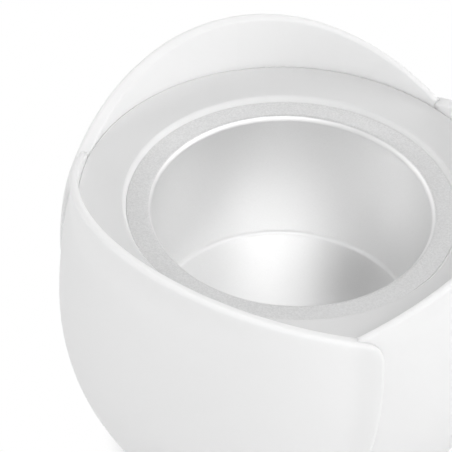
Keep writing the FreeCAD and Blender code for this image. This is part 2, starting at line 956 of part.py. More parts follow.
def bezel_ring():
    """The ring between the pot's flange and the petals, with a stepped lip and a softly dished top."""
    inner = flange_radius + bezel_pot_gap
    lip = inner + bezel_lean
    outer = casing_radius_at(bezel_top) - petal_wall - bezel_gap
    middle = (lip + outer) / 2
    dish = (bezel_lip_top + bezel_top) / 2 - bezel_dish
    ring_body = turned([
        (can_inner + can_flange_width / 2, ledge_bottom, 0),
        (can_inner + can_flange_width / 2, ledge_top, 0),
        (inner, ledge_top, 0),
        (inner, flange_top, 0),
        (lip, bezel_lip_top, bezel_rounding),
        (middle, dish, bezel_dish_rounding),
        (outer, bezel_top, bezel_rounding),
        (outer, shelf_top, 0),
        (outer - bezel_wall, shelf_top, 0),
        (outer - bezel_wall, bezel_top - bezel_wall, 0),
        (middle, dish - bezel_wall, 0),
        (inner + bezel_wall, bezel_lip_top - bezel_wall, 0),
        (inner + bezel_wall, ledge_bottom, 0),
    ])
    pieces = [ring_body]
    hole = screw_radius + screw_clearance
    boss_top = bezel_lip_top - bezel_wall / 2
    holes = []
    for angle in (front_angle, right_angle, back_angle):
        pieces.append(post(bezel_boss_radius, shelf_top, boss_top, bezel_screw_circle(), angle))
        holes.append(post(hole, shelf_top - weld, boss_top, bezel_screw_circle(), angle))
    return joined(pieces).cut(holes)


def bezel_screws():
    """Screws up through the petals' shelves into the bezel's bosses."""
    screws = []
    seat = shelf_top - shelf_wall
    for angle in (front_angle, right_angle, back_angle):
        bolt = screw(screw_radius, screw_head_radius, screw_head, bezel_lip_top - bezel_wall - seat)
        bolt.translate(polar(bezel_screw_circle(), angle, seat))
        screws.append(bolt)
    return Part.makeCompound(screws)


def control_fascia():
    """The flat plate in the pod, with holes for the dial's bush, the lamp and the button."""
    plate = stadium(fascia_width, fascia_height, fascia_back, fascia_face, belly_height)
    rim = [e for e in plate.Edges if e.BoundBox.XMin > fascia_face - match]
    plate = plate.makeFillet(fascia_rounding, rim)
    bush = spindle_radius + spindle_clearance + pot_bush_wall + pot_bush_clearance
    hole = small_screw_radius + screw_clearance
    front = fascia_face + weld
    cuts = [
        rod(bush, fascia_back - weld, front, 0, dial_height_up),
        rod(lens_radius + lens_clearance, fascia_back - weld, front, lamp_side, button_height_up),
        rod(button_radius + button_clearance, fascia_back - weld, front, 0, button_height_up),
        rod(button_space, fascia_back - weld, fascia_face - button_front_wall, 0, button_height_up),
    ]
    for level in fascia_screw_levels():
        cuts.append(rod(hole, fascia_back - weld, fascia_face - weld, 0, level))
    return plate.cut(cuts)


def fascia_screws():
    """Screws from inside the pod into the fascia."""
    screws = []
    grip = fascia_face - 2 * weld - fascia_screw_seat()
    for level in fascia_screw_levels():
        bolt = screw(small_screw_radius, small_head_radius, small_head, grip)
        screws.append(outward(bolt, fascia_screw_seat(), level))
    return Part.makeCompound(screws)


def board_levels():
    top = belly_height + board_height / 2 - board_drop
    return top - board_height, top


def control_board():
    bottom, top = board_levels()
    board = block(board_back, board_front, -board_width / 2, board_width / 2, bottom, top)
    hole = small_screw_radius + screw_clearance
    return board.cut([rod(hole, 0, far, across, level) for across, level in board_post_places()])


def board_screws():
    """Screws through the board into the pod's posts."""
    screws = []
    for across, level in board_post_places():
        bolt = screw(small_screw_radius, small_head_radius, small_head, board_wall + small_grip - weld)
        bolt = outward(bolt, board_back, level)
        bolt.translate(ACROSS * across)
        screws.append(bolt)
    return Part.makeCompound(screws)


def potentiometer():
    """The rotary control on the board, with the bush that carries the spindle."""
    bore = spindle_radius + spindle_clearance
    half = pot_body_width / 2
    low = dial_height_up - pot_body_height / 2
    face = pod_back - pot_body_gap
    case = block(board_front, face, -half, half, low, low + pot_body_height)
    bush = rod(bore + pot_bush_wall, face - weld, fascia_face, 0, dial_height_up)
    return joined([case, bush]).cut(rod(bore, board_front + spindle_seat, far, 0, dial_height_up))


def dial_base():
    return fascia_face + dial_gap


def dial_spindle():
    return rod(spindle_radius, board_front + spindle_seat, dial_base() + dial_bore_depth, 0, dial_height_up)


def dial():
    """The fluted dial, with a sunk cap seat and a pointer groove that stands at off."""
    knob = turned([
        (0, 0, 0),
        (dial_radius, 0, 0),
        (dial_radius - dial_taper, dial_height, dial_rounding),
        (cap_radius + cap_clearance, dial_height, 0),
        (cap_radius + cap_clearance, dial_height - cap_wall, 0),
        (0, dial_height - cap_wall, 0),
    ])
    cuts = [Part.makeCylinder(spindle_radius + spindle_clearance, dial_bore_depth)]
    circle = dial_radius + flute_radius - flute_depth
    for i in range(flute_count):
        cuts.append(post(flute_radius, -overrun, overrun, circle, (i + 1 / 2) * 360 / flute_count))
    inner = dial_radius - dial_taper - pointer_length / 2
    half = pointer_width / 2
    cuts.append(block(-dial_radius - weld, -inner, -half, half, dial_height - cap_wall, dial_height + weld))
    knob = outward(knob.cut(cuts), dial_base(), dial_height_up)
    knob.rotate(Vector(0, 0, dial_height_up), OUT, dial_off_angle)
    return knob


def dial_cap():
    seat = dial_base() + dial_height - cap_wall
    return rod(cap_radius, seat, seat + cap_wall, 0, dial_height_up)


def button_stem_back():
    return fascia_face - button_front_wall - button_clearance - button_flange_wall - stem_length


def power_button():
    """The round push button: a capped barrel, a flange behind the fascia and a stem."""
    back = button_stem_back() + stem_length
    flange_front = back + button_flange_wall
    length = fascia_face + button_proud - back
    barrel = turned([(0, 0, 0), (button_radius, 0, 0), (button_radius, length, button_rounding), (0, length, 0)])
    barrel = outward(barrel, back, button_height_up)
    flange = rod(button_radius + button_flange, back, flange_front, 0, button_height_up)
    stem = rod(stem_radius, button_stem_back(), back + weld / 2, 0, button_height_up)
    return joined([barrel, flange, stem])


def switch_front():
    return board_front + switch_depth


def switch_plunger():
    return rod(plunger_radius, switch_front() - plunger_sunk, button_stem_back(), 0, button_height_up)


def power_switch():
    """The push switch on the board, with the well its plunger slides in."""
    half = switch_width / 2
    case = block(board_front, switch_front(), -half, half, button_height_up - half, button_height_up + half)
    well = plunger_radius + button_clearance
    return case.cut(rod(well, switch_front() - switch_well, far, 0, button_height_up))


def indicator_led():
    return rod(led_radius, board_front, board_front + led_length, lamp_side, button_height_up)


def lamp_lens():
    """The light pipe from the lamp to the fascia's face."""
    back = board_front + led_length + lens_gap
    return rod(lens_radius, back, fascia_face + lens_proud, lamp_side, button_height_up)


def triac():
    half = triac_width / 2
    low = belly_height + triac_lift
    return block(board_back - triac_wall, board_back, -half, half, low, low + triac_height)


def block_levels():
    """The terminal block sits just under the cut-out's leads."""
    top = cutout_level() - cutout_lead_radius - block_gap
    return top - block_height, top


def terminal_block():
    bottom, top = block_levels()
    half = block_width / 2
    return block(board_back - block_depth, board_back, -half, half, bottom, top)


def sensor_level():
    return can_bottom - sensor_radius - strap_clearance / 2


def temperature_sensor():
    return rod(sensor_radius, sensor_circle, sensor_circle + sensor_length, sensor_side, sensor_level())


def strap(radius, length_axis_across):
    """A sheet strap that holds a round piece against the well's underside, centred on the origin."""
    inside = radius + strap_clearance
    outside = inside + strap_wall
    half = strap_width / 2
    saddle = block(-half, half, -outside, outside, -2 * inside - strap_wall, 0)
    saddle = saddle.cut(block(-strap_width, strap_width, -inside, inside, -2 * inside, weld))
    near = outside - strap_wall / 2
    wings = [
        block(-half, half, near, near + strap_foot, -strap_wall, 0),
        block(-half, half, -near - strap_foot, -near, -strap_wall, 0),
    ]
    held = joined([saddle] + wings)
    return aimed(held, 90) if length_axis_across else held


def sensor_strap():
    held = strap(sensor_radius, False)
    held.translate(Vector(sensor_circle + sensor_length / 2, sensor_side, can_bottom))
    return held


def sensor_lead():
    """Two thin wires from the sensor straight out to the board."""
    start = sensor_circle + sensor_length
    half = sensor_lead_pitch / 2
    places = (sensor_side - half, sensor_side + half)
    wires = [rod(sensor_lead_radius, start, board_back, across, sensor_level()) for across in places]
    return Part.makeCompound(wires)


def cutout_level():
    return can_bottom - cutout_radius - strap_clearance / 2


def thermal_cutout():
    """The one-shot cut-out that lies across the well's underside."""
    start = Vector(cutout_circle, 0, cutout_level())
    return Part.makeCylinder(cutout_radius, cutout_length, start, ACROSS)


def cutout_strap():
    held = strap(cutout_radius, True)
    held.translate(Vector(cutout_circle, cutout_length / 2, can_bottom))
    return held


def cutout_leads():
    """The cut-out's wires: each turns once and runs out to the board."""
    level = cutout_level()
    wires = []
    for end, side in ((0, -1), (cutout_length, 1)):
        corner = end + side * cutout_lead_stub
        points = [
            Vector(cutout_circle, end, level),
            Vector(cutout_circle, corner, level),
            Vector(board_back, corner, level),
        ]
        wires.append(bent_tube(points, cutout_lead_radius))
    return Part.makeCompound(wires)


def heater_leads():
    """Short wires from the band's tabs to the board."""
    level = band_levels()[0] + tab_lift + tab_wall / 2
    start = band_outer + tab_reach
    half = tab_spacing / 2
    wires = [rod(heater_lead_radius, start, board_back, side * half, level) for side in (-1, 1)]
    return Part.makeCompound(wires)


def mains_inlet():
    """The two-pin inlet: a face flange, a body that goes through the petal, and the socket."""
    face = inlet_face()
    back = face - inlet_body_depth
    level = inlet_height
    front = slab(inlet_face_width, inlet_face_height, inlet_rounding, face - inlet_face_wall, face, level)
    body = slab(inlet_body_width, inlet_body_height, inlet_rounding, back, face - weld, level)
    socket = slab(socket_width, socket_height, socket_height / 2, face - socket_depth, face + weld, level)
    holes = [rod(pin_radius, back - weld, face, side * pin_pitch / 2, level) for side in (-1, 1)]
    return joined([front, body]).cut([socket] + holes)


def inlet_pins():
    """The two pins: their tips stand in the socket and their tails take the leads."""
    face = inlet_face()
    tail = face - inlet_body_depth - pin_tail
    return Part.makeCompound([
        rod(pin_radius, tail, face - pin_short, side * pin_pitch / 2, inlet_height) for side in (-1, 1)
    ])


def mains_leads():
    """Two leads from the inlet's tails, round outside the tray's posts, and up into the terminal block."""
    tail = inlet_face() - inlet_body_depth - pin_tail
    block_bottom = block_levels()[0]
    block_middle = board_back - block_depth / 2
    reach = plate_screw_circle() + post_radius + lead_ring_clearance
    wires = []
    for side, lift in zip((-1, 1), lead_ring_lifts):
        height = split_height + lift
        across = side * pin_pitch / 2
        inlet_end = aimed_point(Vector(tail, across, inlet_height), back_angle)
        inlet_turn = aimed_point(Vector(reach, across, inlet_height), back_angle)
        block_end = aimed_point(Vector(block_middle, -across, block_bottom), right_angle)
        block_turn = aimed_point(Vector(block_middle, -across, block_bottom - lead_drop), right_angle)
        steps = round(360 / petal_count / lead_step_angle)
        sweep = [polar(reach, back_angle - lead_step_angle * i, height) for i in range(1, steps)]
        wires.append(bent_tube([inlet_end, inlet_turn] + sweep + [block_turn, block_end], lead_radius))
    return Part.makeCompound(wires)


def aimed_point(point, angle):
    turn = math.radians(angle)
    return Vector(
        point.x * math.cos(turn) - point.y * math.sin(turn),
        point.x * math.sin(turn) + point.y * math.cos(turn),
        point.z,
    )


def all_nodes():
    """Every piece by name, in its place."""
    front = petal_blank((front_rise, front_tilt, front_turn))
    right = petal_blank((right_rise, right_tilt, right_turn))
    back = petal_blank((back_rise, back_tilt, back_turn))
    nodes = {
        "petal_front": aimed(front, front_angle),
        "petal_right": aimed(control_petal(right), right_angle),
        "petal_back": aimed(inlet_petal(back), back_angle),
        "mains_leads": mains_leads(),
    }
    for make in (mains_inlet, inlet_pins):
        nodes[make.__name__] = aimed(make(), back_angle)
    facing_board = (
        control_fascia, fascia_screws, control_board, board_screws, potentiometer,
        dial, dial_cap, dial_spindle, power_button, switch_plunger, power_switch,
        indicator_led, lamp_lens, triac, terminal_block,
        temperature_sensor, sensor_strap, sensor_lead, thermal_cutout, cutout_strap, cutout_leads,
        band_heater, band_clamp_screw, band_clamp_nut, insulation_sleeve, heater_leads,
    )
    for make in facing_board:
        nodes[make.__name__] = aimed(make(), right_angle)
    upright_pieces = (
        wax_pot, heater_can, can_seal, can_nut, support_plate, plate_spacers, plate_screws,
        base_tray, base_screws, rubber_feet, bezel_ring, bezel_screws,
    )
    for make in upright_pieces:
        nodes[make.__name__] = make()
    return nodes


os.makedirs("parts", exist_ok=True)
for name, shape in all_nodes().items():
    shape.exportStep(f"parts/{name}.step")
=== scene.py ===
import json
import math

import bmesh
import bpy
from mathutils import Matrix, Vector


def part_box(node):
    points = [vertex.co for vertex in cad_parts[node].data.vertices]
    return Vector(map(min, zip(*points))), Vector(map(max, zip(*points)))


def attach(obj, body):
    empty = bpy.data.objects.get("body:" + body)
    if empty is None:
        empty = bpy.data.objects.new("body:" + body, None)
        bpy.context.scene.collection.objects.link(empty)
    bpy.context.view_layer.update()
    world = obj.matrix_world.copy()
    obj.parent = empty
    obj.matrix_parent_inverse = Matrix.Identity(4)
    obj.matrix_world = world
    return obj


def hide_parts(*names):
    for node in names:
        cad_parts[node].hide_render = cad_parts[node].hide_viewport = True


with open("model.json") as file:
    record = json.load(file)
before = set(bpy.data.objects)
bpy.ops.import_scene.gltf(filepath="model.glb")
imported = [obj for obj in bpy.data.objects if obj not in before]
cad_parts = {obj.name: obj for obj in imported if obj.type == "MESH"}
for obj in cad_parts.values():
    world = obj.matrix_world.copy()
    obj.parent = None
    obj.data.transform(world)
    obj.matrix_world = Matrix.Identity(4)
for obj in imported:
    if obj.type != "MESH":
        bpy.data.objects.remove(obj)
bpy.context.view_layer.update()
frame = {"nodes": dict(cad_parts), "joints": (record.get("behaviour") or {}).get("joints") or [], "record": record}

# The look of a wax warmer: white lapped petals, a satin bezel and a lift-out metal pot.
# Metres, in the same frame as the solids: +Z up, origin under the middle of the feet.

nodes = frame["nodes"]
node_slot = {entry["node"]: entry["material_slot"] for entry in frame["record"]["subparts"]}
dial_joint = next(joint for joint in frame["joints"] if joint["name"] == "dial_turn")
control_way = -Vector(dial_joint["axis"]).normalized()

MM = 0.001
# The measure of the soft edges between the zones of a finish
HAIR = 0.1 * MM

pot_sizes = {
    "Mouth radius": 50.0 * MM,
    "Floor height": 52.8 * MM,
    "Mouth height": 108.0 * MM,
    "Wall": 1.2 * MM,
    "Taper": 0.5 * MM,
    "Floor rounding": 1.5 * MM,
    "Cut width": 1.0 * MM,
    "Cut height": 1.6 * MM,
    "Cut rounding": 1.9 * MM,
    "Flange width": 7.95 * MM,
    "Flange rise": 0.2 * MM,
    "Flange rounding": 0.25 * MM,
    "Rounding steps": 8,
    "Segments": 256,
}


class Field:
    """A socket of a node tree that can be used in Python sums."""

    def __init__(self, tree, socket):
        self.tree = tree
        self.socket = socket

    def node(self, kind, settings=None, values=None, out=0):
        """Add a node, set it up, feed its sockets, and give back one of its outputs."""
        made = self.tree.nodes.new(kind)
        for name, value in (settings or {}).items():
            if name == "cases":
                set_cases(made, value)
            else:
                setattr(made, name, value)
        for key, value in (values or {}).items():
            feed(self.tree, made.inputs[key], value)
        return Field(self.tree, made.outputs[out])

    def math(self, operation, first, second=0.0):
        return self.node("ShaderNodeMath", {"operation": operation}, {0: first, 1: second})

    def __add__(self, other):
        return self.math("ADD", self, other)

    __radd__ = __add__

    def __sub__(self, other):
        return self.math("SUBTRACT", self, other)

    def __rsub__(self, other):
        return self.math("SUBTRACT", other, self)

    def __mul__(self, other):
        return self.math("MULTIPLY", self, other)

    __rmul__ = __mul__

    def __truediv__(self, other):
        return self.math("DIVIDE", self, other)

    def __rtruediv__(self, other):
        return self.math("DIVIDE", other, self)

    def __mod__(self, other):
        return self.math("MODULO", self, other)

    def __neg__(self):
        return self.math("MULTIPLY", self, -1.0)

    def power(self, exponent):
        return self.math("POWER", self, exponent)

    def larger(self, other):
        return self.math("MAXIMUM", self, other)

    def sine(self):
        return self.math("SINE", self)

    def cosine(self):
        return self.math("COSINE", self)

    def is_zero(self):
        """One where a whole number is zero, and zero elsewhere."""
        return self.math("COMPARE", self, 0.0)

    def axis(self, name):
        """One axis of a vector."""
        return self.node("ShaderNodeSeparateXYZ", None, {0: self}, "XYZ".index(name))

    def vector(self, x, y, z):
        return self.node("ShaderNodeCombineXYZ", None, {0: x, 1: y, 2: z})

    def step(self, low, high):
        """Zero below the first value and one above the second, with a soft ramp between."""
        settings = {"interpolation_type": "SMOOTHSTEP"}
        return self.node("ShaderNodeMapRange", settings, {"Value": self, "From Min": low, "From Max": high})

    def mix(self, first, second):
        """From one number to another by this share."""
        return first * (1 - self) + second * self

    def blend(self, first, second):
        """From one colour to another by this share."""
        values = {"Factor": self, 6: first, 7: second}
        return self.node("ShaderNodeMix", {"data_type": "RGBA"}, values, 2)

    def noise(self, scale, detail=2.0, roughness=0.5):
        values = {"Vector": self, "Scale": scale, "Detail": detail, "Roughness": roughness}
        return self.node("ShaderNodeTexNoise", None, values)

    def stretched(self, x, y, z):
        """These coordinates with each axis scaled by its own amount."""
        return self.node("ShaderNodeMapping", None, {"Vector": self, "Scale": (x, y, z)})

    def bump(self, depth):
        """A normal from this height, given the depth that a step of one stands for."""
        return self.node("ShaderNodeBump", None, {"Height": self, "Distance": depth})


def feed(tree, socket, value):
    """Link a field, or each field of a list, to a socket, or set a plain value on it."""
    if isinstance(value, list):
        for part in value:
            tree.links.new(part.socket, socket)
    elif isinstance(value, Field):
        tree.links.new(value.socket, socket)
    else:
        socket.default_value = value


def set_cases(switch, count):
    """Give an index switch this many cases."""
    while len(switch.index_switch_items) < count:
        switch.index_switch_items.new()


def finish(name, paint):
    """A node material: paint gets the object coordinates and gives the values of the shader's sockets."""
    material = bpy.data.materials.new(name)
    material.use_nodes = True
    tree = material.node_tree
    shader = tree.nodes["Principled BSDF"]
    place = Field(tree, tree.nodes.new("ShaderNodeTexCoord").outputs["Object"])
    for key, value in paint(place).items():
        feed(tree, shader.inputs[key], value)
    return material


def colour(tone, share=1.0):
    """A tone of three parts as a colour, made darker or lighter by a share."""
    return tuple(share * part for part in tone) + (1.0,)


def grey(level):
    return colour((level, level, level))


def round_distance(place):
    """How far a point lies from the pot's axis."""
    x = place.axis("X")
    y = place.axis("Y")
    return (x * x + y * y).power(0.5)


# Finishes of the pieces that the photograph shows

def casing_white(place):
    """Smooth white moulding that lets in a little light: a faint orange peel and slow drifts of tone."""
    peel_depth = 0.012 * MM
    glow_depth = 5.0 * MM
    drift = place.noise(14.0)
    peel = place.noise(420.0, detail=1.0)
    return {
        "Base Color": drift.blend(grey(0.938), grey(0.96)),
        "Roughness": 0.5 + 0.1 * drift,
        "Normal": peel.bump(peel_depth),
        "Specular IOR Level": 0.3,
        "Subsurface Weight": 0.4,
        "Subsurface Radius": (1.0, 1.0, 1.0),
        "Subsurface Scale": glow_depth,
    }


def bezel_white(place):
    """Satin white moulding with a fine spark-eroded grain, painted shade as a greyer base colour and a painted
    highlight on the lip.
    """
    lip_inner = 59.6 * MM
    lip_outer = 60.9 * MM
    grain_depth = 0.01 * MM
    drift = place.noise(22.0)
    grain = place.noise(2400.0)
    # Painted highlight: the lip gets a lighter base colour where light falls on it.
    lip_highlight = 1 - round_distance(place).step(lip_inner, lip_outer)
    # Painted shade: this base colour is greyer than the casing's white, for the shade in the recess between the
    # petals.
    satin = drift.blend(grey(0.75), grey(0.775))
    return {
        "Base Color": lip_highlight.blend(satin, grey(0.87)),
        "Roughness": 0.46 + 0.1 * grain,
        "Normal": grain.bump(grain_depth),
        "Specular IOR Level": 0.4,
    }


def pot_zones(place):
    """Where the pot's flange, mouth edge, floor, floor corner and outside lie, each from zero to one; the mouth
    edge and floor corner carry a painted highlight.
    """
    mouth = pot_sizes["Mouth radius"]
    rim = pot_sizes["Mouth height"]
    floor_top = pot_sizes["Floor height"]
    flange_start = mouth + pot_sizes["Cut width"]
    fold_start = mouth - pot_sizes["Taper"] - pot_sizes["Floor rounding"]
    fold_top = floor_top + pot_sizes["Floor rounding"]
    underside = floor_top - pot_sizes["Wall"]
    foot_low = 56.0 * MM
    foot_high = 60.0 * MM
    reach = round_distance(place)
    height = place.axis("Z")
    flange = reach.step(flange_start - HAIR, flange_start + 2 * HAIR)
    on_edge = reach.step(mouth - HAIR / 2, mouth + HAIR / 2) * height.step(rim - 3 * HAIR, rim)
    floor = 1 - height.step(floor_top + 3 * HAIR, fold_top + 2 * HAIR)
    above_floor = height.step(floor_top - HAIR, floor_top + HAIR)
    below_wall = 1 - height.step(fold_top - 2 * HAIR, fold_top + 2 * HAIR)
    fold_highlight = reach.step(fold_start - 3 * HAIR, fold_start + HAIR) * above_floor * below_wall
    under = 1 - height.step(underside + HAIR, floor_top - 2 * HAIR)
    low_outside = reach.step(mouth - 2 * HAIR, mouth) * (1 - height.step(foot_low, foot_high))
    below_rim = 1 - height.step(rim - HAIR, rim + 5 * HAIR)
    high_outside = reach.step(mouth + 2 * HAIR, mouth + 4 * HAIR) * below_rim
    outside = under.larger(low_outside).larger(high_outside)
    return flange, on_edge * (1 - flange), floor, fold_highlight, outside


def pot_metal(place):
    """Drawn aluminium: a blasted flange, a rolled mouth edge, a satin inside and a plain drawn outside, with
    painted highlights on the mouth edge and floor corner.
    """
    grain_depth = 0.04 * MM
    flange, edge, floor, fold_highlight, outside = pot_zones(place)
    drawn = place.stretched(1.0, 1.0, 0.04).noise(1400.0)
    blasted = place.noise(1600.0, detail=3.0, roughness=0.7).step(0.25, 0.75)
    satin = place.noise(1500.0, roughness=0.6)
    inside = satin.blend(grey(0.92), grey(0.98))
    # Painted highlight: the rounded mouth edge and the floor corner get a lighter base colour than the satin
    # inside.
    tone = edge.larger(fold_highlight).blend(inside, grey(0.99))
    tone = flange.blend(tone, blasted.blend(grey(0.81), grey(0.94)))
    tone = outside.blend(tone, drawn.blend(grey(0.62), grey(0.76)))
    gloss = floor.mix(0.4 + 0.08 * satin, 0.49 + 0.06 * satin)
    gloss = edge.mix(gloss, 0.6)
    gloss = fold_highlight.mix(gloss, 0.64)
    gloss = flange.mix(gloss, 0.46 + 0.12 * blasted)
    gloss = outside.mix(gloss, 0.3 + 0.12 * drawn)
    grain = blasted * flange + 0.3 * satin * (1 - flange) * (1 - edge)
    return {
        "Base Color": tone,
        "Metallic": 1.0,
        "Roughness": gloss,
        "Normal": grain.bump(grain_depth),
    }


# Finishes of the other pieces

def moulded(tone, gloss, scale, depth):
    """A moulded plastic in one tone, with a fine grain and a slow drift."""
    def paint(place):
        drift = place.noise(40.0)
        grain = place.noise(scale)
        return {
            "Base Color": drift.blend(colour(tone, share=0.94), colour(tone)),
            "Roughness": gloss + 0.12 * grain,
            "Normal": grain.bump(depth),
        }
    return paint


def sheet_metal(tone, gloss):
    """Rolled or plated metal with fine drawn lines and a mottled tone."""
    line_depth = 0.008 * MM

    def paint(place):
        lines = place.stretched(1.0, 1.0, 0.05).noise(2200.0)
        mottle = place.noise(160.0, detail=3.0)
        return {
            "Base Color": mottle.blend(colour(tone, share=0.82), colour(tone)),
            "Metallic": 1.0,
            "Roughness": gloss + 0.14 * lines,
            "Normal": lines.bump(line_depth),
        }
    return paint


def woven(place):
    """Glass fibre cloth: level rows of thread, with loose fibres between."""
    thread_depth = 0.1 * MM
    threads = (place.axis("Z") * 2200.0).sine()
    fibres = place.noise(1500.0)
    weave = 0.5 + 0.25 * threads + 0.25 * fibres
    return {
        "Base Color": weave.blend(colour((0.7, 0.67, 0.6)), colour((0.86, 0.84, 0.78))),
        "Roughness": 0.85 + 0.1 * fibres,
        "Normal": weave.bump(thread_depth),
    }


def spun_metal(place):
    """Turned aluminium with fine wear."""
    wear_depth = 0.006 * MM
    mottle = place.noise(90.0)
    wear = place.noise(3200.0, detail=1.0)
    return {
        "Base Color": mottle.blend(grey(0.72), grey(0.8)),
        "Metallic": 1.0,
        "Roughness": 0.24 + 0.12 * wear,
        "Normal": wear.bump(wear_depth),
    }


def rubber(tone):
    """Matt rubber with a dusty bloom."""
    bloom_depth = 0.03 * MM

    def paint(place):
        bloom = place.noise(300.0, detail=3.0)
        return {
            "Base Color": bloom.blend(colour(tone), colour(tone, share=1.25)),
            "Roughness": 0.72 + 0.18 * bloom,
            "Normal": bloom.bump(bloom_depth),
        }
    return paint


def lamp_amber(place):
    """Clear amber plastic for the lamp and its light pipe."""
    cloud = place.noise(700.0)
    return {
        "Base Color": cloud.blend(colour((0.9, 0.48, 0.12)), colour((0.98, 0.62, 0.2))),
        "Roughness": 0.12 + 0.08 * cloud,
        "Transmission Weight": 0.45,
        "IOR": 1.49,
    }


faint_grain = 0.006 * MM
fine_grain = 0.008 * MM
plain_grain = 0.01 * MM
coarse_grain = 0.02 * MM

finishes = {
    "casing_white": casing_white,
    "bezel_white": bezel_white,
    "pot_metal": pot_metal,
    "well_metal": sheet_metal((0.72, 0.72, 0.73), gloss=0.34),
    "tray_plastic": moulded((0.84, 0.84, 0.84), gloss=0.44, scale=1800.0, depth=plain_grain),
    "feet_rubber": rubber((0.045, 0.045, 0.047)),
    "seal_silicone": rubber((0.42, 0.1, 0.07)),
    "steel": sheet_metal((0.62, 0.63, 0.64), gloss=0.3),
    "band_steel": sheet_metal((0.5, 0.5, 0.51), gloss=0.36),
    "insulation": woven,
    "ceramic": moulded((0.82, 0.79, 0.72), gloss=0.5, scale=1200.0, depth=coarse_grain),
    "fascia_grey": moulded((0.62, 0.63, 0.65), gloss=0.3, scale=2200.0, depth=fine_grain),
    "dial_white": moulded((0.83, 0.83, 0.82), gloss=0.38, scale=2000.0, depth=fine_grain),
    "dial_metal": spun_metal,
    "button_white": moulded((0.84, 0.84, 0.83), gloss=0.26, scale=1600.0, depth=faint_grain),
    "plunger_white": moulded((0.7, 0.7, 0.68), gloss=0.5, scale=1500.0, depth=plain_grain),
    "component_black": moulded((0.022, 0.022, 0.024), gloss=0.4, scale=1700.0, depth=plain_grain),
    "board_green": moulded((0.02, 0.12, 0.05), gloss=0.34, scale=800.0, depth=plain_grain),
    "terminal_green": moulded((0.03, 0.26, 0.09), gloss=0.42, scale=1500.0, depth=plain_grain),
    "lamp_clear": lamp_amber,
    "pin_brass": sheet_metal((0.8, 0.6, 0.28), gloss=0.25),
    "wire_brown": rubber((0.12, 0.05, 0.025)),
    "wire_white": rubber((0.6, 0.58, 0.54)),
    "wire_red": rubber((0.34, 0.03, 0.02)),
}
materials = {slot: finish(slot, paint) for slot, paint in finishes.items()}


def dress(piece, slot):
    """Give a piece the one finish of a slot."""
    piece.data.materials.clear()
    piece.data.materials.append(materials[slot])


for node_name, node_object in nodes.items():
    dress(node_object, node_slot[node_name])


# What all made pieces share

def start_tree(name, sizes):
    """A geometry tree with a named input for each size. Gives the tree and a field for each input."""
    tree = bpy.data.node_groups.new(name, "GeometryNodeTree")
    tree.interface.new_socket("Geometry", in_out="OUTPUT", socket_type="NodeSocketGeometry")
    for size_name, value in sizes.items():
        kind = "NodeSocketInt" if isinstance(value, int) else "NodeSocketFloat"
        tree.interface.new_socket(size_name, in_out="INPUT", socket_type=kind)
    entry = tree.nodes.new("NodeGroupInput")
    return tree, {size_name: Field(tree, entry.outputs[size_name]) for size_name in sizes}


def end_tree(tree, shape, slot):
    """Close a tree: real geometry with its finish."""
    real = shape.node("GeometryNodeRealizeInstances", None, {0: shape})
    done = shape.node("GeometryNodeSetMaterial", None, {"Geometry": real, "Material": materials[slot]})
    leave = tree.nodes.new("NodeGroupOutput")
    feed(tree, leave.inputs["Geometry"], done)


def linked(name, data):
    """A new object of the scene, for a mesh, a light or a camera."""
    made = bpy.data.objects.new(name, data)
    bpy.context.scene.collection.objects.link(made)
    return made


def grown(name, tree, sizes, place=None):
    """Run a tree on an empty mesh and keep the result as a plain mesh object."""
    holder = linked(name, bpy.data.meshes.new(name))
    modifier = holder.modifiers.new("shape", "NODES")
    modifier.node_group = tree
    for item in tree.interface.items_tree:
        if item.in_out == "INPUT":
            modifier[item.identifier] = sizes[item.name]
    bpy.context.view_layer.update()
    mesh = bpy.data.meshes.new_from_object(holder.evaluated_get(bpy.context.evaluated_depsgraph_get()))
    holder.modifiers.remove(modifier)
    if place is not None:
        mesh.transform(place)
    mesh.name = name
    holder.data = mesh
    return outward(holder)


def outward(piece):
    """Turn a closed piece's faces outward."""
    mesh = bmesh.new()
    mesh.from_mesh(piece.data)
    bmesh.ops.recalc_face_normals(mesh, faces=mesh.faces)
    mesh.to_mesh(piece.data)
    mesh.free()
    return piece


def smooth(piece, crease):
    """Shade a piece smooth, with sharp edges above an angle in degrees."""
    piece.data.shade_smooth()
    piece.data.set_sharp_from_angle(angle=math.radians(crease))


# The pot, turned from its section

def turned(name, slot, sizes, corners_of):
    """A turned piece: its section's corners are sums of the named sizes, each with its own rounding."""
    weld = 0.002 * MM
    tree, size = start_tree(name, sizes)
    corners = corners_of(size)
    first = next(iter(size.values()))
    line = first.node("GeometryNodeMeshLine", None, {"Count": len(corners)})
    index = first.node("GeometryNodeInputIndex")
    places = {0: index}
    roundings = {0: index}
    for i, (reach, height, rounding) in enumerate(corners):
        places[i + 1] = first.vector(reach, -height, 0.0)
        roundings[i + 1] = rounding
    cases = {"data_type": "VECTOR", "cases": len(corners)}
    place = first.node("GeometryNodeIndexSwitch", cases, places)
    cases = {"data_type": "FLOAT", "cases": len(corners)}
    rounding = first.node("GeometryNodeIndexSwitch", cases, roundings)
    line = first.node("GeometryNodeSetPosition", None, {"Geometry": line, "Position": place})
    section = first.node("GeometryNodeMeshToCurve", None, {0: line})
    values = {"Curve": section, "Radius": rounding, "Count": size["Rounding steps"], "Limit Radius": True}
    section = first.node("GeometryNodeFilletCurve", {"mode": "POLY"}, values)
    values = {"Resolution": size["Segments"], "Radius": 1.0}
    circle = first.node("GeometryNodeCurvePrimitiveCircle", None, values)
    values = {"Geometry": section, "Translation": (-1.0, 0.0, 0.0)}
    offset = first.node("GeometryNodeTransform", None, values)
    shape = first.node("GeometryNodeCurveToMesh", None, {"Curve": circle, "Profile Curve": offset})
    shape = first.node("GeometryNodeMergeByDistance", None, {"Geometry": shape, "Distance": weld})
    end_tree(tree, shape, slot)
    return grown(name, tree, sizes)


